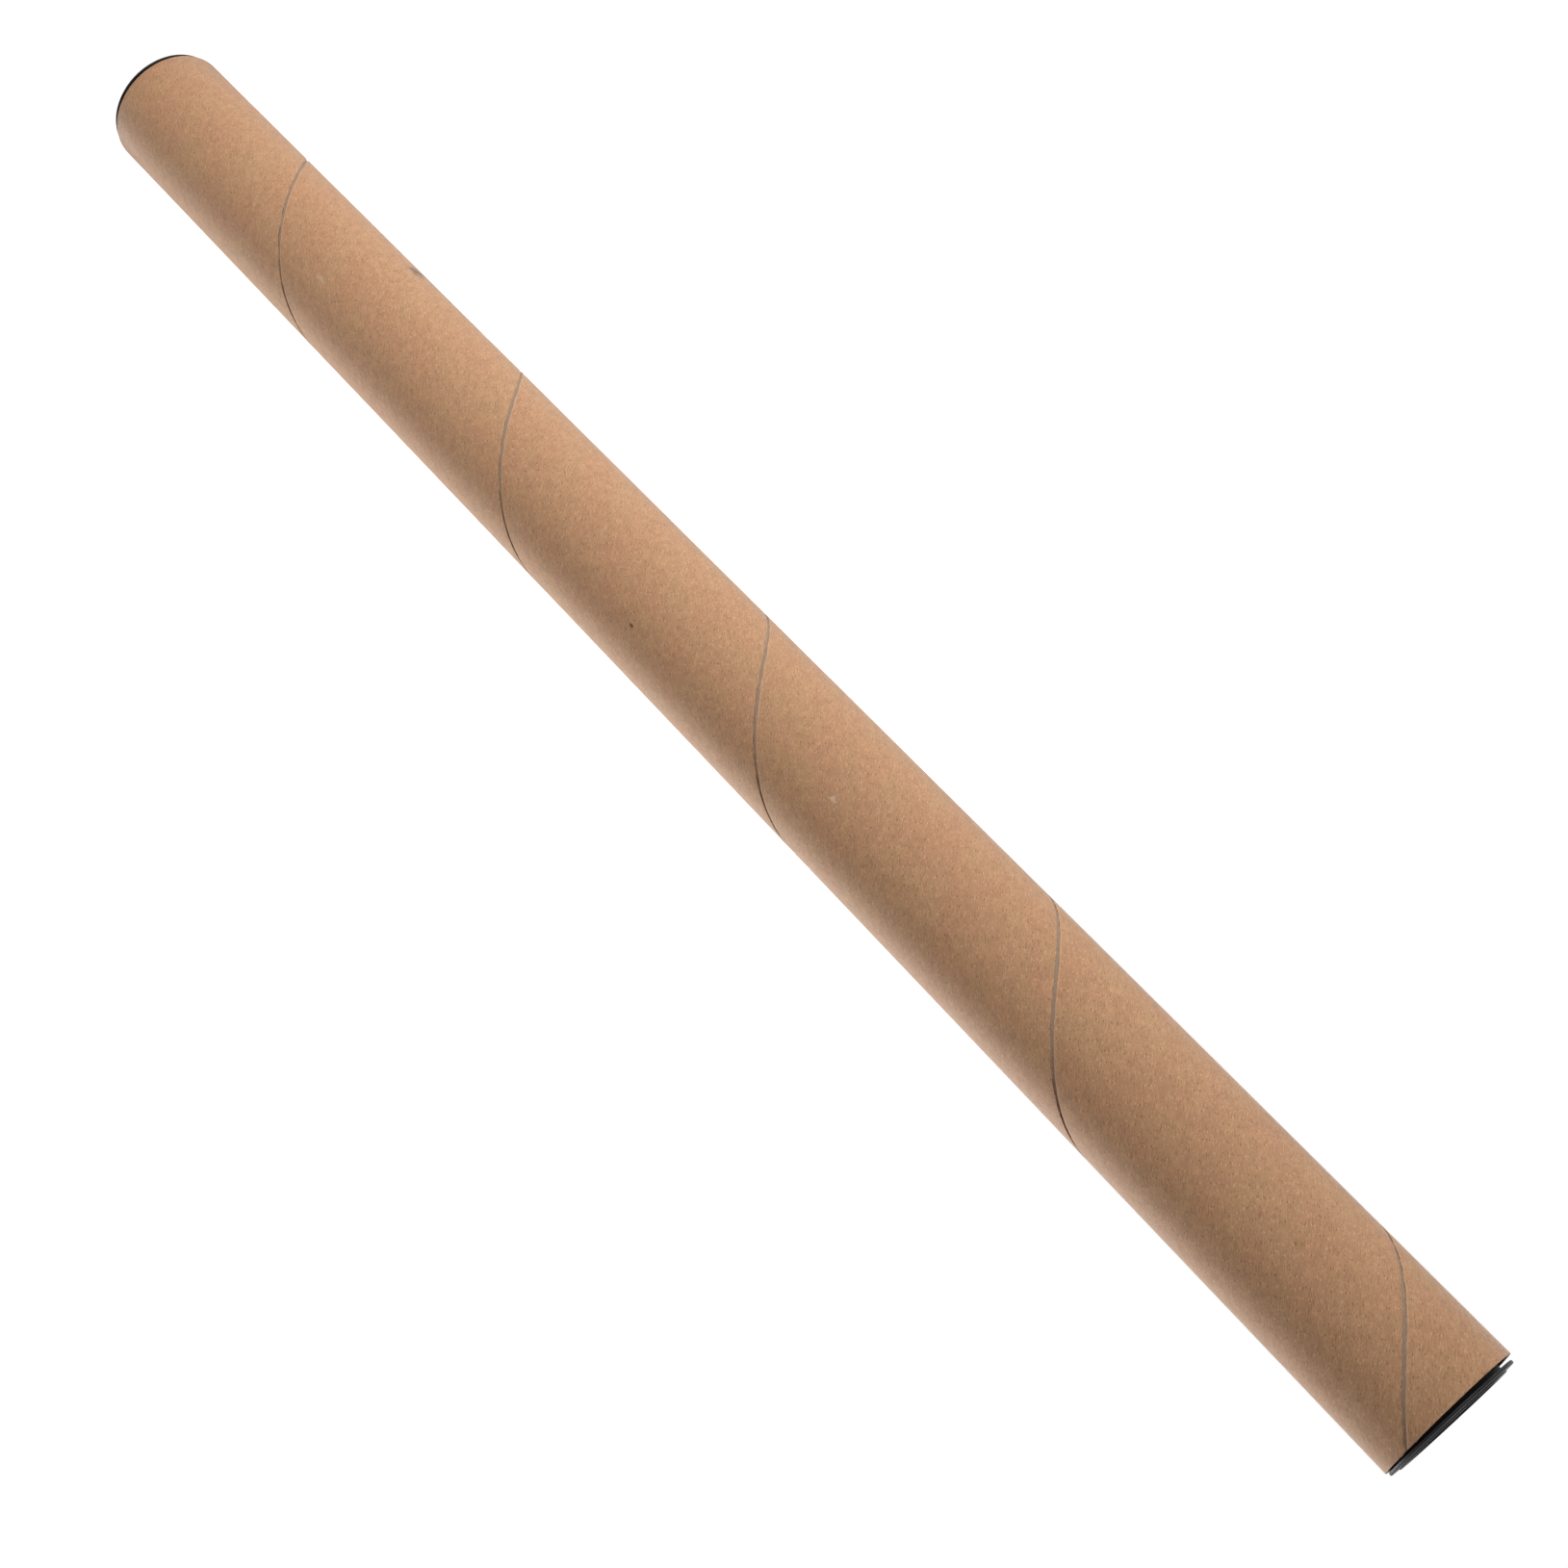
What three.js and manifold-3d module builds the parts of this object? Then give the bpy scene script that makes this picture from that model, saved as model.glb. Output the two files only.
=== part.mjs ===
// A kraft poster tube, standing on one end: a spirally wound paperboard tube, closed at both ends by push-in
// plastic plugs. Each plug stands a little off its cut end, and the upper one sits crooked.
// Millimetres, +Z up. The origin is the middle of the raised ring that the tube stands on, at floor level.
import * as THREE from "three";
import { mergeVertices } from "three/addons/utils/BufferGeometryUtils.js";
import Module from "manifold-3d";

const wasm = await Module();
wasm.setup();

// The paperboard tube, as the saw leaves it.
const tubeDiameter = 32;
const tubeWall = 2.4;
const tubeLength = 445;
const cutEdgeChamfer = 0.3;

// The seams. Each ply is a strip wound edge to edge, and the strip's two edges don't quite meet.
const seamPitch = 92; // what the right-handed seam climbs in one turn
const outerPlyThickness = 0.3;
const outerSeamGap = 0.6; // square to the seam
const outerSeamHeight = 67; // from the lower cut end to where the seam first crosses the front (-Y)
const innerPlyThickness = 0.4;
const innerSeamGap = 0.6;
const innerSeamHeight = 21;

// The end plugs: a flange over the cut end, a hollow body inside the tube, and grip rings that hold it there.
const flangeInset = 0.6; // how far the flange's edge stays inside the tube's outer face
const flangeThickness = 0.7;
const flangeEdgeRadius = 0.2;
const beadWidth = 1.65; // the raised ring round the mouth of the recess
const beadHeight = 0.3;
const beadEdgeRadius = 0.12;
const bodyDepth = 16; // from the flange's underside to the closed inner end
const bodyTaper = 0.3; // how much smaller in radius the body is at its inner end
const bodyLead = 1.5; // the cone that starts the plug into the tube
const shellThickness = 1.2;
const recessFloorRadius = 1.0;
const gateDiameter = 2.6; // the small disc that the mould's gate leaves in the middle of the recess
const gateHeight = 0.3;
const gripRingCount = 3;
const gripRingHeight = 0.35;
const gripRingWidth = 1.6;
const gripRingPitch = 4;
const firstGripRing = 3; // from the flange's underside to the crest of the nearest ring

// How the plugs sit in the tube.
const gripClearance = 0.3; // in radius, between a grip ring and the bore
const lowerStandoff = 1.15; // from the lower cut end to the flange
const upperStandoff = 0.5; // the same at the upper end, measured on the axis
const upperTilt = THREE.MathUtils.degToRad(1.1); // lifts the flange's -X side
const upperNod = THREE.MathUtils.degToRad(0.6); // lifts its front (-Y)

// How finely the round shapes are divided.
const facetsPerTurn = 48;
const facetsPerRounding = 2;

const tubeRadius = tubeDiameter / 2;
const boreRadius = tubeRadius - tubeWall;
const flangeRadius = tubeRadius - flangeInset;
const gripRadius = boreRadius - gripClearance;
const bodyRadius = gripRadius - gripRingHeight;
const mouthRadius = bodyRadius - shellThickness;
const plugHead = flangeThickness + beadHeight;
const tubeFoot = plugHead + lowerStandoff;
const tubeTop = tubeFoot + tubeLength;

const kraftBoard = new THREE.MeshStandardMaterial({ color: 0xb58c66, roughness: 0.9, metalness: 0 });
const blackPolyethylene = new THREE.MeshStandardMaterial({ color: 0x1e1c1f, roughness: 0.45, metalness: 0 });

// Revolves a closed outline of [radius, height] points round the Z axis.
function revolve(outline) {
  const points = outline.map(([radius, height]) => new THREE.Vector2(radius, height));
  return new THREE.LatheGeometry(points, facetsPerTurn).rotateX(Math.PI / 2);
}

// The points of an arc round [radius, height], from one direction to another in degrees.
function arc([radius, height], size, from, to) {
  return Array.from({ length: facetsPerRounding + 1 }, (_, i) => {
    const direction = THREE.MathUtils.degToRad(from + ((to - from) * i) / facetsPerRounding);
    return [radius + size * Math.cos(direction), height + size * Math.sin(direction)];
  });
}

// A rectangular bar that winds up round the Z axis and passes the front (-Y) at startHeight.
// It reaches from one end of the tube past the other.
function seamCutter(innerRadius, outerRadius, gap, startHeight) {
  const seamRadius = Math.min(tubeRadius, outerRadius);
  const climbAngle = Math.atan2(seamPitch, 2 * Math.PI * seamRadius);
  const halfHeight = gap / Math.cos(climbAngle) / 2;
  const firstFacet = Math.floor((-(startHeight + gap * 3) / seamPitch) * facetsPerTurn);
  const lastFacet = Math.ceil(((tubeLength - startHeight + gap * 3) / seamPitch) * facetsPerTurn);
  const corners = [];
  const triangles = [];
  for (let facet = firstFacet; facet <= lastFacet; facet++) {
    const turn = facet / facetsPerTurn;
    const x = Math.sin(turn * 2 * Math.PI);
    const y = -Math.cos(turn * 2 * Math.PI);
    const height = startHeight + turn * seamPitch;
    const first = corners.length / 3;
    corners.push(x * innerRadius, y * innerRadius, height - halfHeight);
    corners.push(x * outerRadius, y * outerRadius, height - halfHeight);
    corners.push(x * outerRadius, y * outerRadius, height + halfHeight);
    corners.push(x * innerRadius, y * innerRadius, height + halfHeight);
    if (facet === firstFacet) {
      triangles.push(first, first + 1, first + 2, first, first + 2, first + 3);
    }
    if (facet === lastFacet) {
      triangles.push(first, first + 2, first + 1, first, first + 3, first + 2);
    } else {
      for (let side = 0; side < 4; side++) {
        const a = first + side;
        const b = first + ((side + 1) % 4);
        triangles.push(a, a + 4, b, b, a + 4, b + 4);
      }
    }
  }
  const cutter = new THREE.BufferGeometry();
  cutter.setAttribute("position", new THREE.Float32BufferAttribute(corners, 3));
  cutter.setIndex(triangles);
  return cutter;
}

function toSolid(geometry) {
  const bare = geometry.clone();
  bare.deleteAttribute("normal");
  bare.deleteAttribute("uv");
  const merged = mergeVertices(bare, 1e-4);
  const vertProperties = merged.attributes.position.array;
  const triVerts = new Uint32Array(merged.index.array);
  return new wasm.Manifold(new wasm.Mesh({ numProp: 3, vertProperties, triVerts }));
}

function toGeometry(solid) {
  const mesh = solid.getMesh();
  const geometry = new THREE.BufferGeometry();
  geometry.setAttribute("position", new THREE.BufferAttribute(mesh.vertProperties, 3));
  geometry.setIndex(new THREE.BufferAttribute(mesh.triVerts, 1));
  geometry.computeVertexNormals();
  return geometry;
}

// The tube, its lower cut end at height 0, with the open seam of the outer ply outside and that of the inner
// ply in the bore.
function woundTube() {
  const edge = cutEdgeChamfer;
  const wall = toSolid(
    revolve([
      [boreRadius + edge, 0],
      [tubeRadius - edge, 0],
      [tubeRadius, edge],
      [tubeRadius, tubeLength - edge],
      [tubeRadius - edge, tubeLength],
      [boreRadius + edge, tubeLength],
      [boreRadius, tubeLength - edge],
      [boreRadius, edge],
      [boreRadius + edge, 0],
    ]),
  );
  const outerFloor = tubeRadius - outerPlyThickness;
  const outerSeam = seamCutter(outerFloor, tubeRadius + outerPlyThickness, outerSeamGap, outerSeamHeight);
  const innerFloor = boreRadius + innerPlyThickness;
  const innerSeam = seamCutter(boreRadius - innerPlyThickness, innerFloor, innerSeamGap, innerSeamHeight);
  return toGeometry(wall.subtract(toSolid(outerSeam)).subtract(toSolid(innerSeam)));
}

// A plug, with the underside of its flange at height 0, its body below that and its recess open upwards.
function endPlug() {
  const bodyRadiusAt = (depth) => bodyRadius - (bodyTaper * depth) / bodyDepth;
  const gripRings = [];
  for (let i = gripRingCount - 1; i >= 0; i--) {
    const crest = firstGripRing + i * gripRingPitch;
    const rampFoot = crest + gripRingWidth * 0.7;
    const backFoot = crest - gripRingWidth * 0.3;
    gripRings.push([bodyRadiusAt(rampFoot), -rampFoot]);
    gripRings.push([gripRadius, -crest]);
    gripRings.push([bodyRadiusAt(backFoot), -backFoot]);
  }
  const endRadius = bodyRadiusAt(bodyDepth);
  const floorHeight = shellThickness - bodyDepth;
  const floorCornerRadius = endRadius - shellThickness - recessFloorRadius;
  return revolve([
    [0, -bodyDepth],
    [endRadius - bodyLead / 2, -bodyDepth],
    [endRadius, -bodyDepth + bodyLead],
    ...gripRings,
    [bodyRadius, 0],
    ...arc([flangeRadius - flangeEdgeRadius, flangeEdgeRadius], flangeEdgeRadius, -90, 0),
    ...arc([flangeRadius - flangeEdgeRadius, flangeThickness - flangeEdgeRadius], flangeEdgeRadius, 0, 90),
    [mouthRadius + beadWidth, flangeThickness],
    ...arc([mouthRadius + beadWidth - beadEdgeRadius, plugHead - beadEdgeRadius], beadEdgeRadius, 0, 90),
    ...arc([mouthRadius + beadEdgeRadius, plugHead - beadEdgeRadius], beadEdgeRadius, 90, 180),
    ...arc([floorCornerRadius, floorHeight + recessFloorRadius], recessFloorRadius, 0, -90),
    [gateDiameter / 2, floorHeight],
    [gateDiameter / 2, floorHeight + gateHeight],
    [0, floorHeight + gateHeight],
  ]);
}

function piece(name, geometry, material) {
  const mesh = new THREE.Mesh(geometry, material);
  mesh.name = name;
  return mesh;
}

const posterTube = new THREE.Group();
posterTube.name = "kraft_poster_tube";

const tube = piece("kraft_tube", woundTube(), kraftBoard);
tube.position.z = tubeFoot;
posterTube.add(tube);

const bottomPlug = piece("bottom_plug", endPlug(), blackPolyethylene);
bottomPlug.rotation.x = Math.PI;
bottomPlug.position.z = plugHead;
posterTube.add(bottomPlug);

// The upper plug tips about the middle of its grip rings, so that they all stay clear of the bore.
const tipDepth = firstGripRing + ((gripRingCount - 1) * gripRingPitch) / 2;
const tippedSeat = new THREE.Group();
tippedSeat.position.z = tubeTop + upperStandoff - tipDepth;
tippedSeat.rotation.set(-upperNod, upperTilt, 0);
posterTube.add(tippedSeat);

const topPlug = piece("top_plug", endPlug(), blackPolyethylene);
topPlug.position.z = tipDepth;
tippedSeat.add(topPlug);

export default posterTube;
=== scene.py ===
"""Dresses the kraft poster tube: wound plies, moulded end plugs, and a plain white studio round them."""

import math

import bpy
from mathutils import Matrix, Vector


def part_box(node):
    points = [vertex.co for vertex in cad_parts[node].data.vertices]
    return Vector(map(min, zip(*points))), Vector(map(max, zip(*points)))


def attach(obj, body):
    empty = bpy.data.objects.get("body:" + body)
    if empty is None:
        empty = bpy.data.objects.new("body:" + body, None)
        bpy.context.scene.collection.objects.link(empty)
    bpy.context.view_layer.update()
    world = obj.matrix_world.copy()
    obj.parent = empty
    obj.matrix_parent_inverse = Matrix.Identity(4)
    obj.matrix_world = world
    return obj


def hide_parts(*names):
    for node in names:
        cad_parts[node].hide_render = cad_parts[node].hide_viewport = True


bl_info = {
    "name": "Kraft Poster Tube",
    "version": (1, 0, 0),
    "blender": (4, 5, 0),
    "location": "View3D > Sidebar > Poster Tube",
    "description": "Models a spirally wound kraft board tube and its push-in end plugs",
    "category": "Add Mesh",
}

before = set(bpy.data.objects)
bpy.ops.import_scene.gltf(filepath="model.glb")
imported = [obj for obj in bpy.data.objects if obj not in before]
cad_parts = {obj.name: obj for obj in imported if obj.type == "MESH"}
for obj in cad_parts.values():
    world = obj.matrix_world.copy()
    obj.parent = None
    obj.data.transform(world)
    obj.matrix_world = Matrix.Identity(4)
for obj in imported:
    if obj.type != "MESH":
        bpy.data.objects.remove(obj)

MM = 0.001
WELD = 0.002 * MM
TUBE_LOW, TUBE_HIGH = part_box("kraft_tube")
PLUG_LOW, PLUG_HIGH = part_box("bottom_plug")

# How finely the round shapes are divided.
TUBE_STEPS = 192
PLUG_STEPS = 144
ROUNDING_STEPS = 5

# The strip's rows next to each lip, from the lip. The first stands further off than the lip can wander.
LIP_ROWS = (0.5 * MM, 1.0 * MM, 2.5 * MM)

# The lamps: name, place, size, power. Metres and watts.
LAMPS = (
    ("key_lamp", (-0.37, -0.54, 0.11), 0.45, 3.9),
    ("side_lamp", (-0.62, 0.15, 0.08), 0.45, 2.2),
    ("rim_lamp", (0.58, 0.36, 0.2), 0.40, 5.2),
    ("top_lamp", (0, 0, 1.25), 0.40, 3.2),
)
LAMP_TARGET = (0, 0, 0.05)
ROOM_LIGHT = 0.10
PAPER_GLOW = 0.94

# The rubs and smudges of the liner: centre, half sizes, colour, strength. Metres.
MARKS = (
    ((-0.01507, -0.00538, 0.10022), (0.0020, 0.0026, 0.0024), "#6B584C", 0.95),
    ((0.00699, -0.01439, 0.21699), (0.0005, 0.0005, 0.0007), "#4A3426", 0.9),
    ((0.00278, -0.01576, 0.08983), (0.0007, 0.0007, 0.0028), "#D0B396", 0.5),
    ((-0.01560, -0.00280, 0.12677), (0.0011, 0.0014, 0.0022), "#D8C0A6", 0.6),
    ((0.00196, -0.01588, 0.28038), (0.0007, 0.0007, 0.0012), "#D9C2A8", 0.6),
)


def linear(code):
    """The linear colour of an sRGB hex code."""
    channels = [int(code[i:i + 2], 16) / 255 for i in (1, 3, 5)]
    return tuple(c / 12.92 if c <= 0.04045 else ((c + 0.055) / 1.055) ** 2.4 for c in channels)


def length(name, description, default):
    """A size that a user may change, in metres."""
    return bpy.props.FloatProperty(
        name=name, description=description, default=default, min=0.0, unit="LENGTH", precision=5
    )


def angle(name, description, default):
    """An angle that a user may change, in radians."""
    return bpy.props.FloatProperty(name=name, description=description, default=default, subtype="ANGLE")


def colour(name, description, code):
    """A colour that a user may change."""
    return bpy.props.FloatVectorProperty(
        name=name, description=description, default=linear(code), subtype="COLOR", min=0.0, max=1.0
    )


class TubeSettings(bpy.types.PropertyGroup):
    """The wound tube."""

    radius: length("Radius", "Outer radius of the tube", TUBE_HIGH.x)
    wall: length("Wall", "Thickness of all the plies together", 2.4 * MM)
    ply: length("Ply", "Thickness of the inner ply and of the plies in the wall", 0.4 * MM)
    liner: length("Liner", "Thickness of the outer ply", 0.3 * MM)
    foot: length("Foot", "Height of the lower cut end", TUBE_LOW.z)
    top: length("Top", "Height of the upper cut end", TUBE_HIGH.z)
    pitch: length("Pitch", "What a seam climbs in one turn", 92 * MM)
    outer_gap: length("Outer gap", "Opening of the outer ply's seam, square to it", 0.6 * MM)
    outer_start: length("Outer start", "Height above the foot where the outer seam crosses the front", 67 * MM)
    inner_gap: length("Inner gap", "Opening of the inner ply's seam, square to it", 0.6 * MM)
    inner_start: length("Inner start", "Height above the foot where the inner seam crosses the front", 21 * MM)
    lip_play: length("Lip play", "How far the seam's edges wander", 0.16 * MM)
    kraft: colour("Kraft", "Colour of the outer ply's face", "#BF936F")
    chipboard: colour("Chipboard", "Colour of the plies inside the wall", "#A38C78")


class PlugSettings(bpy.types.PropertyGroup):
    """The two end plugs, which are the same moulding."""

    flange_radius: length("Flange radius", "Outer radius of the flange", PLUG_HIGH.x)
    flange: length("Flange", "Thickness of the flange", 0.7 * MM)
    bead: length("Bead", "Height of the raised ring on the flange", 0.3 * MM)
    bead_width: length("Bead width", "Width of the raised ring", 1.65 * MM)
    depth: length("Depth", "From the flange's underside to the closed end", 16 * MM)
    shell: length("Shell", "Thickness of the moulded wall", 1.2 * MM)
    taper: length("Taper", "Loss in radius from the flange to the closed end", 0.3 * MM)
    grip_clearance: length("Grip clearance", "From a grip ring to the bore", 0.3 * MM)
    grip_height: length("Grip height", "How far a grip ring stands out of the body", 0.35 * MM)
    grip_width: length("Grip width", "Width of a grip ring at its foot", 1.6 * MM)
    grip_pitch: length("Grip pitch", "Distance from one grip ring to the next", 4 * MM)
    first_grip: length("First grip", "From the flange's underside to the nearest grip ring", 3 * MM)
    upper_standoff: length("Upper standoff", "From the upper cut end to the flange, on the axis", 0.5 * MM)
    upper_tilt: angle("Upper tilt", "How far the upper plug leans to the +X side", math.radians(1.1))
    upper_nod: angle("Upper nod", "How far the upper plug leans to the back", math.radians(0.6))
    plastic: colour("Plastic", "Colour of the moulded polyethylene", "#0F0D10")


class StudioSettings(bpy.types.PropertyGroup):
    """The camera and the floor."""

    distance: length("Distance", "From the tube's axis to the camera", 450.4 * MM)
    height: length("Height", "Height of the camera over the tube's foot", 459.3 * MM)
    heading: angle("Heading", "Turn to the right of +Y", math.radians(0.93))
    dip: angle("Dip", "Tilt below the horizon", math.radians(23.75))
    roll: angle("Roll", "Turn about the line of sight", math.radians(135.97))
    lens: bpy.props.FloatProperty(
        name="Lens", description="Focal length in mm on a 36 mm sensor", default=52.15, min=1.0
    )
    paper: colour("Paper", "Colour of the floor", "#CFCECC")


class PosterTube(bpy.types.PropertyGroup):
    """All the settings of the poster tube."""

    tube: bpy.props.PointerProperty(type=TubeSettings)
    plug: bpy.props.PointerProperty(type=PlugSettings)
    studio: bpy.props.PointerProperty(type=StudioSettings)


# Materials


def new_material(name):
    """An empty node material."""
    made = bpy.data.materials.new(name)
    made.use_nodes = True
    made.node_tree.nodes.clear()
    return made


def add(tree, kind, inputs=None, **settings):
    """A new node, with its settings, and with each input set or linked by name or number."""
    made = tree.nodes.new(kind)
    for key, value in settings.items():
        setattr(made, key, value)
    for key, value in (inputs or {}).items():
        if isinstance(value, bpy.types.NodeSocket):
            tree.links.new(value, made.inputs[key])
        else:
            made.inputs[key].default_value = value
    return made


def per(millimetres):
    """The texture scale that makes one feature that many millimetres long."""
    return 1 / (millimetres * MM)


def shade(colour_value, factor=1.0):
    """A colour made darker or lighter by one factor, with its alpha."""
    return (*[min(1.0, c * factor) for c in colour_value], 1.0)


def seen(tree):
    """1 where the camera sees a surface, straight or in gloss or glass, and 0 where it only lights others."""
    path = add(tree, "ShaderNodeLightPath").outputs
    total = path["Is Camera Ray"]
    for ray in ("Is Glossy Ray", "Is Transmission Ray"):
        total = add(tree, "ShaderNodeMath", {0: total, 1: path[ray]}, operation="MAXIMUM").outputs[0]
    return total


def kraft_liner(settings):
    """Unbleached kraft paper, machine-made: long brown fibres that lie along the strip, with paler and darker
    ones among them, a cloudy formation, and a matt, slightly woolly face that pales at its edges.

    Real kraft fibres are about 3 mm long and 0.03 mm wide, too fine to show. They are drawn 0.2 mm wide.
    """
    made = new_material("kraft_liner")
    tree = made.node_tree
    place = add(tree, "ShaderNodeUVMap", uv_map="strip").outputs["UV"]
    across = add(tree, "ShaderNodeSeparateXYZ", {0: place}).outputs[1]
    lip = settings.outer_gap / 2
    width = settings.pitch * math.cos(math.atan2(settings.pitch, math.tau * settings.radius))
    whole = add(tree, "ShaderNodeTexCoord").outputs["Object"]
    ragging = {"Vector": whole, "Scale": per(0.9), "Detail": 4.0, "Roughness": 0.7}
    ragging = add(tree, "ShaderNodeTexNoise", ragging).outputs[0]
    ragging = add(tree, "ShaderNodeMapRange", {"Value": ragging, 1: 0.3, 2: 0.7, 3: -0.7, 4: 0.7}).outputs[0]

    def drift(size, detail, roughness, shift, spread, tones):
        """A drift in tone. Its features have that size in millimetres, along the fibres and across them."""
        scale = (per(size[0]), per(size[1]), 1.0)
        laid = {"Vector": place, "Scale": scale, "Location": (shift, shift, 0)}
        laid = add(tree, "ShaderNodeMapping", laid).outputs[0]
        level = {"Vector": laid, "Scale": 1.0, "Detail": detail, "Roughness": roughness}
        level = add(tree, "ShaderNodeTexNoise", level, noise_dimensions="2D").outputs[0]
        tone = {"Value": level, 1: spread[0], 2: spread[1], 3: tones[0], 4: tones[1]}
        return add(tree, "ShaderNodeMapRange", tone, interpolation_type="SMOOTHSTEP").outputs[0]

    def flecks(cell, size, share, shift):
        """Single fibres: a dot in that share of the cells, whose sides are in millimetres."""
        scale = (per(cell[0]), per(cell[1]), 1.0)
        laid = {"Vector": place, "Scale": scale, "Location": (shift, shift, 0)}
        laid = add(tree, "ShaderNodeMapping", laid).outputs[0]
        cells = {"Vector": laid, "Scale": 1.0}
        cells = add(tree, "ShaderNodeTexVoronoi", cells, voronoi_dimensions="2D").outputs
        near = {"Value": cells["Distance"], 1: size * 0.6, 2: size, 3: 1.0, 4: 0.0}
        near = add(tree, "ShaderNodeMapRange", near, interpolation_type="SMOOTHSTEP").outputs[0]
        chosen = add(tree, "ShaderNodeSeparateColor", {0: cells["Color"]}).outputs[0]
        kept = add(tree, "ShaderNodeMath", {0: chosen, 1: share}, operation="LESS_THAN").outputs[0]
        return add(tree, "ShaderNodeMath", {0: near, 1: kept}, operation="MULTIPLY").outputs[0]

    def mark(centre, size, strength):
        """How much of a rub or a smudge shows: a soft oval with a ragged edge."""
        towards = add(tree, "ShaderNodeVectorMath", {0: whole, 1: centre}, operation="SUBTRACT").outputs[0]
        spread = add(tree, "ShaderNodeVectorMath", {0: towards, 1: size}, operation="DIVIDE").outputs[0]
        away = add(tree, "ShaderNodeVectorMath", {0: spread}, operation="LENGTH").outputs["Value"]
        ragged = add(tree, "ShaderNodeMath", {0: away, 1: ragging}, operation="ADD").outputs[0]
        shown = {"Value": ragged, 1: 0.3, 2: 1.2, 3: strength, 4: 0.0}
        return add(tree, "ShaderNodeMapRange", shown, interpolation_type="SMOOTHSTEP").outputs[0]

    def tinted(red, green, blue):
        """The liner's colour with each channel made weaker or stronger."""
        return (*[c * k for c, k in zip(settings.kraft, (red, green, blue))], 1.0)

    clouds = drift((14, 7), 3.0, 0.55, 3.1, (0.35, 0.65), (0.0, 1.0))
    formation = drift((3.4, 1.8), 4.0, 0.65, 8.4, (0.3, 0.7), (0.93, 1.06))
    fibres = drift((1.7, 0.2), 4.0, 0.7, 1.7, (0.28, 0.72), (0.84, 1.14))
    grain = drift((0.5, 0.22), 2.0, 0.6, 5.5, (0.3, 0.7), (0.89, 1.1))
    broken = drift((2.5, 2.5), 3.0, 0.6, 6.2, (0.42, 0.58), (0.1, 0.65))

    # Beside the seam a painted highlight pales the low lip, and a broken dark line of painted shade runs along both
    # lips, at the edge of the open seam.
    bands = (
        (lip + 0.1 * MM, lip + 0.5 * MM, 0.75, 0.0),
        (lip + 0.02 * MM, lip + 0.12 * MM, 1.0, 0.0),
        (width - lip - 0.12 * MM, width - lip - 0.02 * MM, 0.0, 1.0),
    )
    bands = [{"Value": across, 1: near, 2: far, 3: start, 4: end} for near, far, start, end in bands]
    painted_lip_highlight, low_lip_painted_shade, high_lip_painted_shade = [
        add(tree, "ShaderNodeMapRange", band, interpolation_type="SMOOTHSTEP").outputs[0] for band in bands
    ]
    seam_painted_shade = add(tree, "ShaderNodeMath", {0: low_lip_painted_shade, 1: high_lip_painted_shade}, operation="MAXIMUM").outputs[0]
    seam_painted_shade = add(tree, "ShaderNodeMath", {0: seam_painted_shade, 1: broken}, operation="MULTIPLY").outputs[0]

    # What lies over the bare sheet, from the bottom up: colour or tone, how much of it shows, and how it mixes.
    layers = [
        (tinted(1.0, 0.965, 0.97), clouds, "MIX"),
        (formation, 1.0, "MULTIPLY"),
        (fibres, 1.0, "MULTIPLY"),
        (grain, 1.0, "MULTIPLY"),
        (tinted(0.5, 0.46, 0.42), flecks((2.0, 0.6), 0.16, 0.26, 0.0), "MIX"),
        (tinted(0.68, 0.64, 0.61), flecks((5.0, 0.6), 0.15, 0.3, 4.0), "MIX"),
        (tinted(1.28, 1.36, 1.5), flecks((2.0, 0.65), 0.17, 0.34, 7.0), "MIX"),
        # painted highlight: the seam's low lip made paler
        (tinted(1.22, 1.28, 1.36), painted_lip_highlight, "MIX"),
        # painted shade: a broken dark line along both lips of the seam
        (tinted(0.26, 0.23, 0.21), seam_painted_shade, "MIX"),
    ]
    for centre, size, tint, strength in MARKS:
        layers.append((shade(linear(tint)), mark(centre, size, strength), "MIX"))
    face = tinted(1.0, 1.015, 1.0)
    for above, share, mode in layers:
        mixed = {0: share, 6: face, 7: above}
        face = add(tree, "ShaderNodeMix", mixed, data_type="RGBA", blend_type=mode).outputs[2]

    height = add(tree, "ShaderNodeMath", {0: fibres, 1: grain}, operation="ADD").outputs[0]
    bump = add(tree, "ShaderNodeBump", {"Strength": 0.35, "Distance": 0.05 * MM, "Height": height})
    surface = {
        "Base Color": face,
        "Roughness": 0.75,
        "IOR": 1.5,
        "Specular IOR Level": 0.2,
        "Sheen Weight": 0.45,
        "Sheen Roughness": 0.4,
        "Normal": bump.outputs[0],
    }
    shader = add(tree, "ShaderNodeBsdfPrincipled", surface)
    add(tree, "ShaderNodeOutputMaterial", {0: shader.outputs[0]})
    return made


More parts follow.
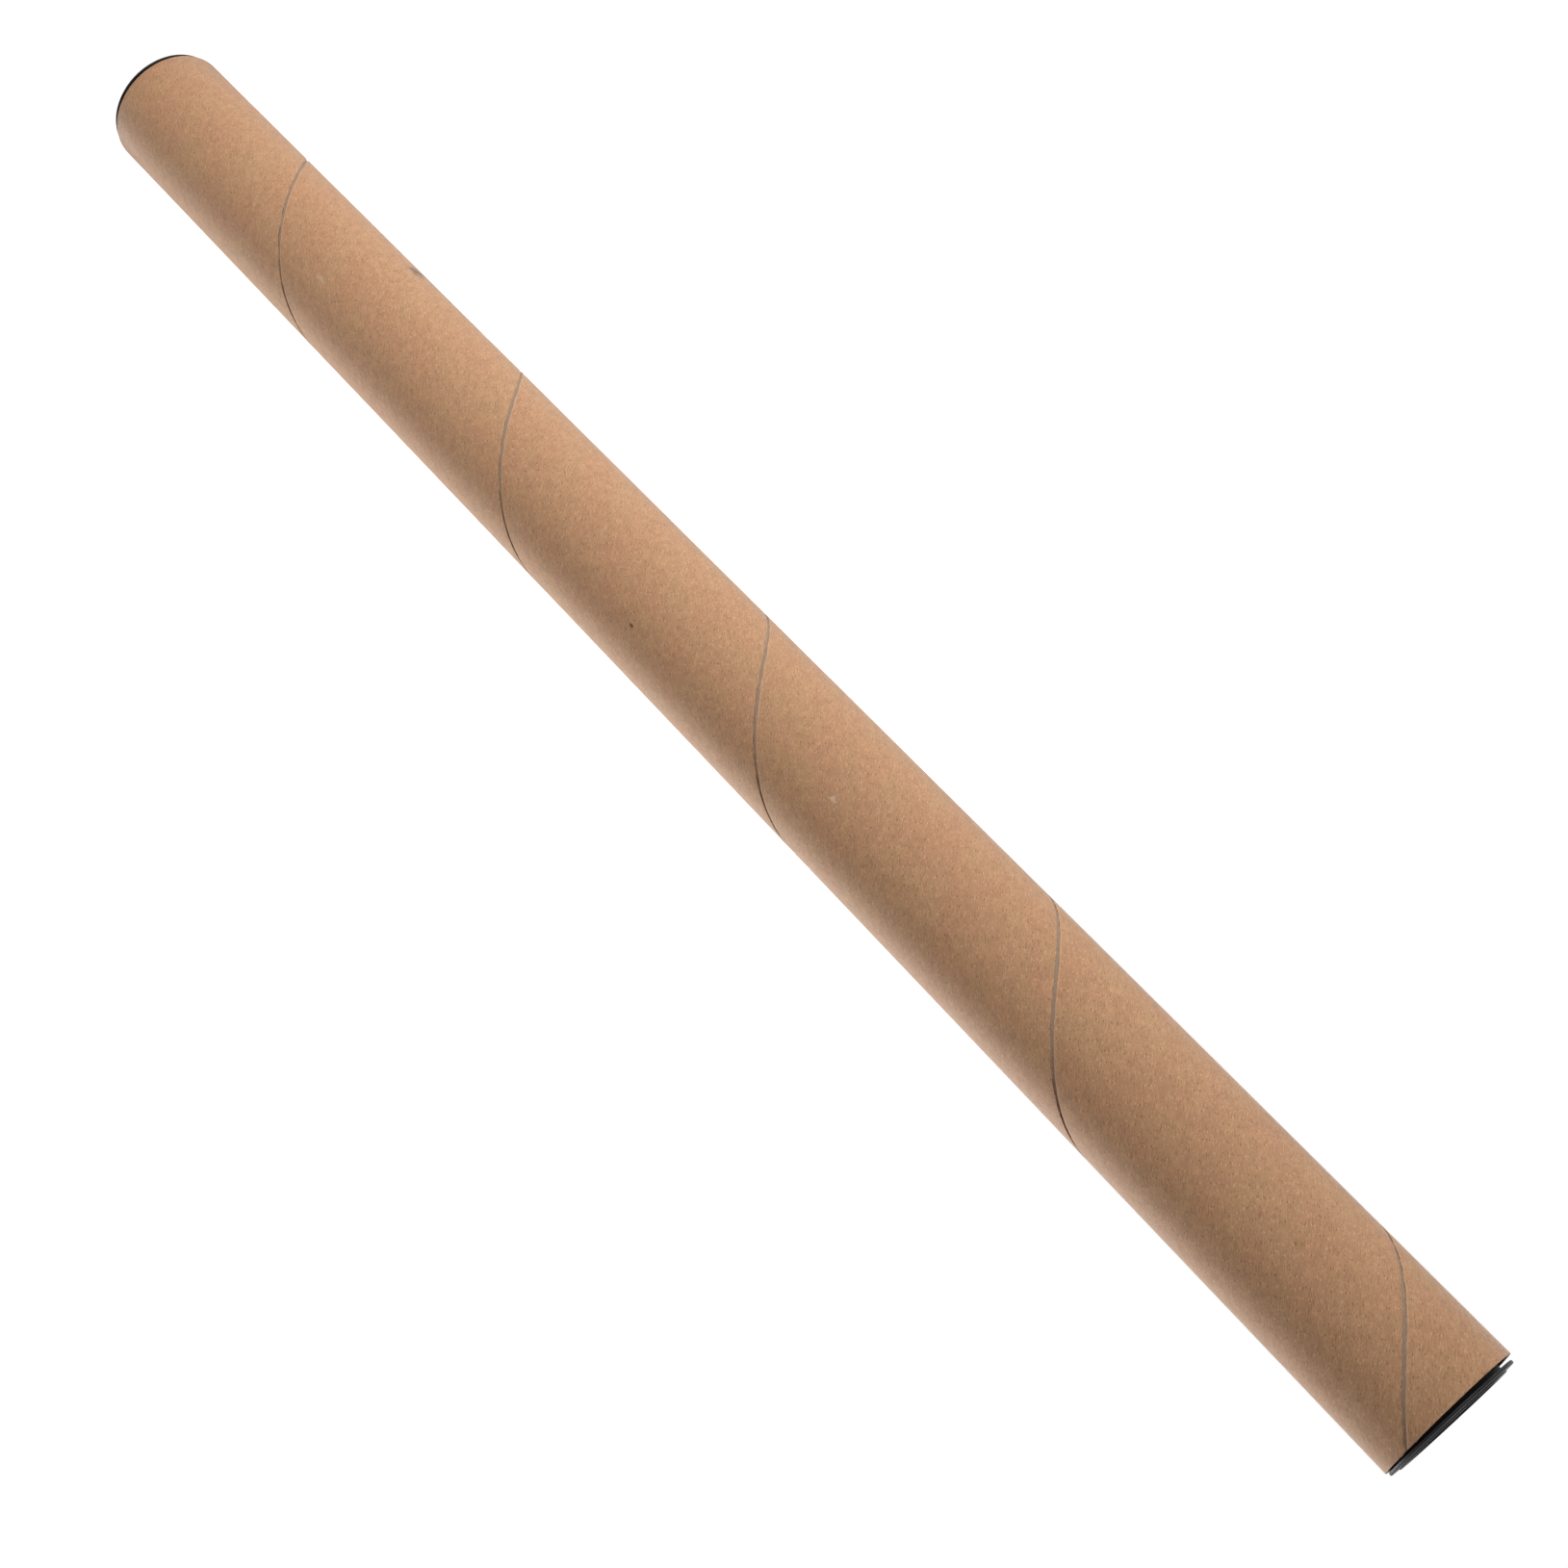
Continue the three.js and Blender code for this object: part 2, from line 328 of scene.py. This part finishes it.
def grey_chipboard(settings, name="grey_chipboard", brightness=1.0):
    """Recycled board, as used for the plies inside a tube wall: grey-brown, short-fibred and dead matt. On the
    cut ends each ply shows as a ring, with a dark glue line between it and the next.

    Its fibres are about 0.03 mm wide, too fine to show. They are drawn as a grain of 0.35 mm.
    """
    made = new_material(name)
    tree = made.node_tree
    place = add(tree, "ShaderNodeTexCoord").outputs["Object"]
    flat = add(tree, "ShaderNodeMapping", {"Vector": place, "Scale": (1.0, 1.0, 0.0)}).outputs[0]
    radius = add(tree, "ShaderNodeVectorMath", {0: flat}, operation="LENGTH").outputs["Value"]
    plies = add(tree, "ShaderNodeMath", {0: radius, 1: settings.ply}, operation="DIVIDE").outputs[0]
    within = add(tree, "ShaderNodeMath", {0: plies}, operation="FRACT").outputs[0]
    glue = add(tree, "ShaderNodeMath", {0: within, 1: 0.0, 2: 0.16}, operation="COMPARE").outputs[0]
    grain = {"Vector": place, "Scale": per(0.35), "Detail": 4.0, "Roughness": 0.7}
    short_fibres = add(tree, "ShaderNodeTexNoise", grain).outputs[0]
    tone = {"Value": short_fibres, 1: 0.3, 2: 0.7, 3: 0.72, 4: 1.22}
    tone = add(tree, "ShaderNodeMapRange", tone).outputs[0]
    board = {0: 1.0, 6: shade(settings.chipboard, brightness), 7: tone}
    board = add(tree, "ShaderNodeMix", board, data_type="RGBA", blend_type="MULTIPLY").outputs[2]
    lined = {0: glue, 6: board, 7: shade(settings.chipboard, brightness * 0.5)}
    lined = add(tree, "ShaderNodeMix", lined, data_type="RGBA").outputs[2]
    bump = add(tree, "ShaderNodeBump", {"Strength": 0.5, "Distance": 0.05 * MM, "Height": short_fibres})
    surface = {"Base Color": lined, "Roughness": 0.9, "IOR": 1.45, "Normal": bump.outputs[0]}
    shader = add(tree, "ShaderNodeBsdfPrincipled", surface)
    add(tree, "ShaderNodeOutputMaterial", {0: shader.outputs[0]})
    return made


def black_polyethylene(settings):
    """Low-density polyethylene with carbon black, injection moulded: soft satin, faintly mottled by the mould's
    spark-eroded face, with fine rub marks.

    The spark-eroded grain is about 0.05 mm, too fine to show. It is drawn at 0.25 mm.
    """
    made = new_material("black_polyethylene")
    tree = made.node_tree
    place = add(tree, "ShaderNodeTexCoord").outputs["Object"]
    mould = {"Vector": place, "Scale": per(0.25), "Detail": 3.0, "Roughness": 0.6}
    mould = add(tree, "ShaderNodeTexNoise", mould).outputs[0]
    rubs = {"Vector": place, "Scale": per(3.0), "Detail": 5.0, "Roughness": 0.7}
    rubs = add(tree, "ShaderNodeTexNoise", rubs).outputs[0]
    rough = add(tree, "ShaderNodeMapRange", {"Value": rubs, 1: 0.3, 2: 0.7, 3: 0.4, 4: 0.55}).outputs[0]
    tone = add(tree, "ShaderNodeMapRange", {"Value": rubs, 1: 0.3, 2: 0.7, 3: 0.85, 4: 1.35}).outputs[0]
    face = {0: 1.0, 6: shade(settings.plastic), 7: tone}
    face = add(tree, "ShaderNodeMix", face, data_type="RGBA", blend_type="MULTIPLY").outputs[2]
    bump = add(tree, "ShaderNodeBump", {"Strength": 0.25, "Distance": 0.02 * MM, "Height": mould})
    surface = {
        "Base Color": face,
        "Roughness": rough,
        "IOR": 1.51,
        "Specular IOR Level": 0.2,
        "Normal": bump.outputs[0],
    }
    shader = add(tree, "ShaderNodeBsdfPrincipled", surface)
    add(tree, "ShaderNodeOutputMaterial", {0: shader.outputs[0]})
    return made


def white_paper(settings):
    """Seamless studio paper. To the camera it glows a little, so that it comes out white and its shadow pale."""
    made = new_material("studio_paper")
    tree = made.node_tree
    paper = add(tree, "ShaderNodeBsdfDiffuse", {"Color": shade(settings.paper)}).outputs[0]
    glow = add(tree, "ShaderNodeEmission", {"Color": (1.0, 1.0, 1.0, 1.0), "Strength": PAPER_GLOW}).outputs[0]
    both = add(tree, "ShaderNodeAddShader", {0: paper, 1: glow}).outputs[0]
    shader = add(tree, "ShaderNodeMixShader", {0: seen(tree), 1: paper, 2: both}).outputs[0]
    add(tree, "ShaderNodeOutputMaterial", {0: shader})
    return made


# Modelling


def start_line(name, first):
    """A new object at the origin, in edit mode, holding one selected vertex."""
    bpy.ops.object.select_all(action="DESELECT")
    bpy.ops.mesh.primitive_plane_add(size=MM, location=(0, 0, 0))
    made = bpy.context.object
    made.name = name
    made.data.name = name
    bpy.ops.object.mode_set(mode="EDIT")
    bpy.ops.mesh.select_mode(type="VERT")
    bpy.ops.mesh.select_all(action="SELECT")
    bpy.ops.mesh.merge(type="CENTER")
    bpy.ops.transform.translate(value=first)
    return made


def draw_line(points, closed=False):
    """Extrudes the selected vertex through the points after the first, and back to it if closed."""
    stops = [*points, points[0]] if closed else points
    for here, there in zip(stops, stops[1:]):
        bpy.ops.mesh.extrude_vertices_move(TRANSFORM_OT_translate={"value": Vector(there) - Vector(here)})
    bpy.ops.mesh.select_all(action="SELECT")
    bpy.ops.mesh.remove_doubles(threshold=WELD)


def rounded(corners):
    """The outline's (radius, height) points, with an arc at each corner that names a rounding."""
    points = []
    for i, (corner, rounding) in enumerate(corners):
        here = Vector(corner)
        if not rounding:
            points.append(here)
            continue
        back = (Vector(corners[i - 1][0]) - here).normalized()
        on = (Vector(corners[(i + 1) % len(corners)][0]) - here).normalized()
        half = back.angle(on) / 2
        centre = here + (back + on).normalized() * rounding / math.sin(half)
        first = (here + back * rounding / math.tan(half) - centre).normalized()
        last = (here + on * rounding / math.tan(half) - centre).normalized()
        for k in range(ROUNDING_STEPS + 1):
            points.append(centre + rounding * first.slerp(last, k / ROUNDING_STEPS))
    return points


def revolve(name, corners, steps, closed):
    """Draws an outline in front of the axis and spins it round."""
    points = [(0, -radius, height) for radius, height in rounded(corners)]
    made = start_line(name, points[0])
    draw_line(points, closed)
    bpy.ops.mesh.spin(steps=steps, angle=math.tau, center=(0, 0, 0), axis=(0, 0, 1))
    bpy.ops.mesh.select_all(action="SELECT")
    bpy.ops.mesh.remove_doubles(threshold=WELD)
    bpy.ops.mesh.normals_make_consistent(inside=False)
    bpy.ops.object.mode_set(mode="OBJECT")
    return made


def pick(made):
    """Selects one object alone and makes it the active one."""
    bpy.ops.object.select_all(action="DESELECT")
    made.select_set(True)
    bpy.context.view_layer.objects.active = made


def apply_modifier(made, kind, **settings):
    """Adds a modifier, sets it and applies it."""
    modifier = made.modifiers.new(kind.lower(), kind)
    for key, value in settings.items():
        setattr(modifier, key, value)
    pick(made)
    bpy.ops.object.modifier_apply(modifier=modifier.name)


def smooth(made, sharpest=math.radians(35)):
    """Shades the piece smooth, with every edge sharper than that kept."""
    pick(made)
    bpy.ops.object.shade_smooth_by_angle(angle=sharpest)


def dress(made, slot, body, node, *materials):
    """Gives a finished piece its materials and its place in the part."""
    for material in materials:
        made.data.materials.append(material)
    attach(made, body)
    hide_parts(node)


def lay_out_strip(made, tube, start):
    """Unwraps a wound strip flat, in metres: u along its fibres, v across them from its lower edge."""
    mesh = made.data
    layer = mesh.uv_layers.new(name="strip")
    climb = math.atan2(tube.pitch, math.tau * tube.radius)

    def turns(point):
        return math.atan2(point.x, -point.y) / math.tau

    for face in mesh.polygons:
        middle = turns(face.center)
        wound = math.floor((face.center.z - start) / tube.pitch - middle)
        for loop in face.loop_indices:
            point = mesh.vertices[mesh.loops[loop].vertex_index].co
            turn = turns(point)
            turn += round(middle - turn) + wound
            arc = turn * math.tau * tube.radius
            rise = point.z - start
            along = arc * math.cos(climb) + rise * math.sin(climb)
            across = rise * math.cos(climb) - arc * math.sin(climb)
            layer.data[loop].uv = (along, across)


def roughen_lips(made, play):
    """Lets the strip's two edges wander, as a slitter leaves them."""
    wander = bpy.data.textures.new("lip_wander", "CLOUDS")
    wander.noise_scale = 3 * MM
    wander.noise_depth = 3
    for lip, strength in (("low_lip", play), ("high_lip", -play)):
        apply_modifier(made, "DISPLACE", texture=wander, texture_coords="LOCAL", direction="Z", mid_level=0.45,
                       vertex_group=lip, strength=strength * 3)


def wind_strip(name, tube, radius, gap, start, outwards):
    """A ply: a strip wound up the tube edge to edge, its seam open by the gap, cut off at the tube's ends."""
    climb = math.atan2(tube.pitch, math.tau * tube.radius)
    opening = gap / math.cos(climb)
    turns_below = math.ceil((start - tube.foot) / tube.pitch) + 1
    low = start - turns_below * tube.pitch + opening / 2
    width = tube.pitch - opening
    rows = [0, *LIP_ROWS, width / 3, width * 2 / 3, *[width - row for row in reversed(LIP_ROWS)], width]
    points = [(0, -radius, low + row) for row in rows]
    made = start_line(name, points[0])
    draw_line(points)
    bpy.ops.object.mode_set(mode="OBJECT")
    made.vertex_groups.new(name="low_lip").add([0], 1.0, "REPLACE")
    made.vertex_groups.new(name="high_lip").add([len(rows) - 1], 1.0, "REPLACE")
    turns = math.ceil((tube.top - low) / tube.pitch) + 1
    apply_modifier(made, "SCREW", angle=math.tau, screw_offset=tube.pitch, iterations=turns, steps=TUBE_STEPS,
                   render_steps=TUBE_STEPS, use_smooth_shade=True, use_merge_vertices=False)
    lay_out_strip(made, tube, start)
    roughen_lips(made, tube.lip_play)
    bpy.ops.object.mode_set(mode="EDIT")
    for height, normal in ((tube.foot, (0, 0, -1)), (tube.top, (0, 0, 1))):
        bpy.ops.mesh.select_all(action="SELECT")
        bpy.ops.mesh.bisect(plane_co=(0, 0, height), plane_no=normal, clear_outer=True)
    bpy.ops.mesh.select_all(action="SELECT")
    bpy.ops.mesh.normals_make_consistent(inside=False)
    bpy.ops.object.mode_set(mode="OBJECT")
    facing = made.data.polygons[0]
    if facing.normal.dot(Vector((facing.center.x, facing.center.y, 0))) * outwards < 0:
        made.data.flip_normals()
    return made


def thicken(made, thickness, rim, edge):
    """Gives a wound strip its thickness and its soft cut edges, and shades it."""
    apply_modifier(made, "SOLIDIFY", thickness=thickness, offset=-1.0, use_even_offset=True,
                   material_offset_rim=rim)
    apply_modifier(made, "BEVEL", width=edge, segments=2, limit_method="ANGLE",
                   angle_limit=math.radians(50), use_clamp_overlap=False)
    smooth(made)


class PieceOperator:
    """What every operator of this add-on shares."""

    bl_options = {"REGISTER", "UNDO"}

    @property
    def settings(self):
        return bpy.context.scene.poster_tube


class POSTERTUBE_OT_core(PieceOperator, bpy.types.Operator):
    """Model the plies inside the wall as one ring of board, with a notch at each glue line of its cut ends"""

    bl_idname = "poster_tube.board_core"
    bl_label = "Board core"

    def execute(self, context):
        tube = self.settings.tube
        bore = tube.radius - tube.wall
        overlap = 0.02 * MM
        inside = bore + tube.ply - overlap
        outside = tube.radius - tube.liner + overlap
        recess = 0.05 * MM
        notch = 0.05 * MM
        low, high = tube.foot + recess, tube.top - recess
        plies = int(round(tube.wall / tube.ply))
        foot = [(inside, low)]
        for line in [bore + tube.ply * i for i in range(2, plies - 1)]:
            foot += [(line - notch, low), (line, low + notch), (line + notch, low)]
        foot.append((outside, low))
        top = [(radius, low + high - height) for radius, height in reversed(foot)]
        made = revolve("board_core", [(point, 0) for point in foot + top], TUBE_STEPS, True)
        smooth(made)
        dress(made, "kraft_board", "tube", "kraft_tube", grey_chipboard(tube))
        return {"FINISHED"}


class POSTERTUBE_OT_outer_ply(PieceOperator, bpy.types.Operator):
    """Wind the kraft liner round the tube, with its open seam and its soft cut edges"""

    bl_idname = "poster_tube.outer_ply"
    bl_label = "Outer ply"

    def execute(self, context):
        tube = self.settings.tube
        made = wind_strip("outer_ply", tube, tube.radius, tube.outer_gap, tube.foot + tube.outer_start, 1)
        thicken(made, tube.liner, 1, 0.07 * MM)
        # Painted shade: the liner's cut faces, the walls of its seam among them, take the chipboard at half its
        # brightness, so that the seam's walls look shaded.
        painted_shade_rim = grey_chipboard(tube, "kraft_rim_painted_shade", 0.5)
        dress(made, "kraft_board", "tube", "kraft_tube", kraft_liner(tube), painted_shade_rim)
        return {"FINISHED"}


class POSTERTUBE_OT_inner_ply(PieceOperator, bpy.types.Operator):
    """Wind the ply that lines the bore"""

    bl_idname = "poster_tube.inner_ply"
    bl_label = "Inner ply"

    def execute(self, context):
        tube = self.settings.tube
        bore = tube.radius - tube.wall
        made = wind_strip("inner_ply", tube, bore, tube.inner_gap, tube.foot + tube.inner_start, -1)
        thicken(made, tube.ply, 0, 0.09 * MM)
        dress(made, "kraft_board", "tube", "kraft_tube", grey_chipboard(tube, "bore_liner", 1.1))
        return {"FINISHED"}


class POSTERTUBE_OT_plugs(PieceOperator, bpy.types.Operator):
    """Model the moulded plugs, one straight in the lower end and one crooked in the upper"""

    bl_idname = "poster_tube.end_plugs"
    bl_label = "End plugs"

    def outline(self, tube, plug):
        """Half the plug's section, flange underside at height 0, the recess open upwards."""
        grip_radius = tube.radius - tube.wall - plug.grip_clearance
        body = grip_radius - plug.grip_height
        mouth = body - plug.shell
        bead = mouth + plug.bead_width
        head = plug.flange + plug.bead
        end = body - plug.taper
        floor = plug.shell - plug.depth
        edge, bead_edge, fine = 0.2 * MM, 0.14 * MM, 0.1 * MM
        lead, lead_edge = 1.5 * MM, 0.5 * MM
        floor_edge = 1.0 * MM
        gate, gate_height = 1.3 * MM, 0.3 * MM

        def body_at(depth):
            return body - plug.taper * depth / plug.depth

        corners = [((0, -plug.depth), 0), ((end - lead / 2, -plug.depth), lead_edge)]
        corners.append(((end, lead - plug.depth), lead_edge))
        for i in reversed(range(3)):
            crest = plug.first_grip + i * plug.grip_pitch
            ramp, back = crest + plug.grip_width * 0.7, crest - plug.grip_width * 0.3
            corners += [((body_at(ramp), -ramp), fine), ((grip_radius, -crest), fine), ((body_at(back), -back), fine)]
        corners += [((body, 0), fine), ((plug.flange_radius, 0), edge), ((plug.flange_radius, plug.flange), edge)]
        corners += [((bead, plug.flange), fine), ((bead, head), bead_edge), ((mouth, head), bead_edge)]
        corners += [((end - plug.shell, floor), floor_edge), ((gate, floor), 0), ((gate, floor + gate_height), fine)]
        corners.append(((0, floor + gate_height), 0))
        return corners

    def execute(self, context):
        tube, plug = self.settings.tube, self.settings.plug
        plastic = black_polyethylene(plug)
        upper = revolve("upper_plug", self.outline(tube, plug), PLUG_STEPS, False)
        smooth(upper, math.radians(50))
        bpy.ops.object.duplicate()
        lower = bpy.context.object
        lower.name = lower.data.name = "lower_plug"
        head = plug.flange + plug.bead
        lower.data.transform(Matrix.Translation((0, 0, head)) @ Matrix.Rotation(math.pi, 4, "X"))
        tip = plug.first_grip + plug.grip_pitch
        pivot = Matrix.Translation((0, 0, tube.top + plug.upper_standoff - tip))
        lean = Matrix.Rotation(-plug.upper_nod, 4, "X") @ Matrix.Rotation(plug.upper_tilt, 4, "Y")
        upper.data.transform(pivot @ lean @ Matrix.Translation((0, 0, tip)))
        dress(upper, "black_plug", "top_plug", "top_plug", plastic)
        dress(lower, "black_plug", "bottom_plug", "bottom_plug", plastic)
        return {"FINISHED"}


class POSTERTUBE_OT_studio(PieceOperator, bpy.types.Operator):
    """Set up the paper floor, the soft lamps, the white surroundings and the camera"""

    bl_idname = "poster_tube.studio"
    bl_label = "Studio"

    def floor(self, studio):
        bpy.ops.mesh.primitive_plane_add(size=30, location=(0, 0, 0))
        made = bpy.context.object
        made.name = "studio_floor"
        made.data.materials.append(white_paper(studio))

    def lamp(self, name, place, size, power):
        bpy.ops.object.light_add(type="AREA", location=place)
        made = bpy.context.object
        made.name = name
        made.data.shape = "DISK"
        made.data.size = size
        made.data.energy = power
        aim = Vector(LAMP_TARGET) - Vector(place)
        made.rotation_euler = aim.to_track_quat("-Z", "Y").to_euler()

    def surroundings(self):
        """A room that looks white but lights the tube only a little."""
        world = bpy.data.worlds.new("white_room")
        world.use_nodes = True
        tree = world.node_tree
        tree.nodes.clear()
        level = add(tree, "ShaderNodeMapRange", {"Value": seen(tree), 3: ROOM_LIGHT, 4: 1.0}).outputs[0]
        sky = add(tree, "ShaderNodeBackground", {"Color": (1.0, 1.0, 1.0, 1.0), "Strength": level})
        add(tree, "ShaderNodeOutputWorld", {0: sky.outputs[0]})
        bpy.context.scene.world = world

    def camera(self, studio, foot):
        bpy.ops.object.camera_add()
        made = bpy.context.object
        made.name = "camera"
        turn = Matrix.Rotation(-studio.heading, 4, "Z")
        tilt = Matrix.Rotation(math.pi / 2 - studio.dip, 4, "X")
        roll = Matrix.Rotation(studio.roll, 4, "Z")
        place = Matrix.Translation((0, -studio.distance, foot + studio.height))
        made.matrix_world = place @ turn @ tilt @ roll
        made.data.lens = studio.lens
        made.data.sensor_width = 36
        made.data.clip_start = 10 * MM
        bpy.context.scene.camera = made

    def execute(self, context):
        studio = self.settings.studio
        self.floor(studio)
        for lamp in LAMPS:
            self.lamp(*lamp)
        self.surroundings()
        self.camera(studio, self.settings.tube.foot)
        context.scene.view_settings.view_transform = "Standard"
        return {"FINISHED"}


class POSTERTUBE_PT_panel(bpy.types.Panel):
    """Lists the steps that build the tube and its studio"""

    bl_label = "Poster Tube"
    bl_idname = "POSTERTUBE_PT_panel"
    bl_space_type = "VIEW_3D"
    bl_region_type = "UI"
    bl_category = "Poster Tube"

    def draw(self, context):
        column = self.layout.column()
        for step in STEPS:
            column.operator(step.bl_idname)


STEPS = (
    POSTERTUBE_OT_core,
    POSTERTUBE_OT_outer_ply,
    POSTERTUBE_OT_inner_ply,
    POSTERTUBE_OT_plugs,
    POSTERTUBE_OT_studio,
)
CLASSES = (TubeSettings, PlugSettings, StudioSettings, PosterTube, *STEPS, POSTERTUBE_PT_panel)


def register():
    """Registers the classes and the settings."""
    for cls in CLASSES:
        bpy.utils.register_class(cls)
    bpy.types.Scene.poster_tube = bpy.props.PointerProperty(type=PosterTube)


def unregister():
    """Takes the settings and the classes away again."""
    del bpy.types.Scene.poster_tube
    for cls in reversed(CLASSES):
        bpy.utils.unregister_class(cls)


def main():
    """Builds the whole scene."""
    register()
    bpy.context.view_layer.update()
    bpy.ops.poster_tube.board_core()
    bpy.ops.poster_tube.outer_ply()
    bpy.ops.poster_tube.inner_ply()
    bpy.ops.poster_tube.end_plugs()
    bpy.ops.poster_tube.studio()


if __name__ == "__main__":
    main()
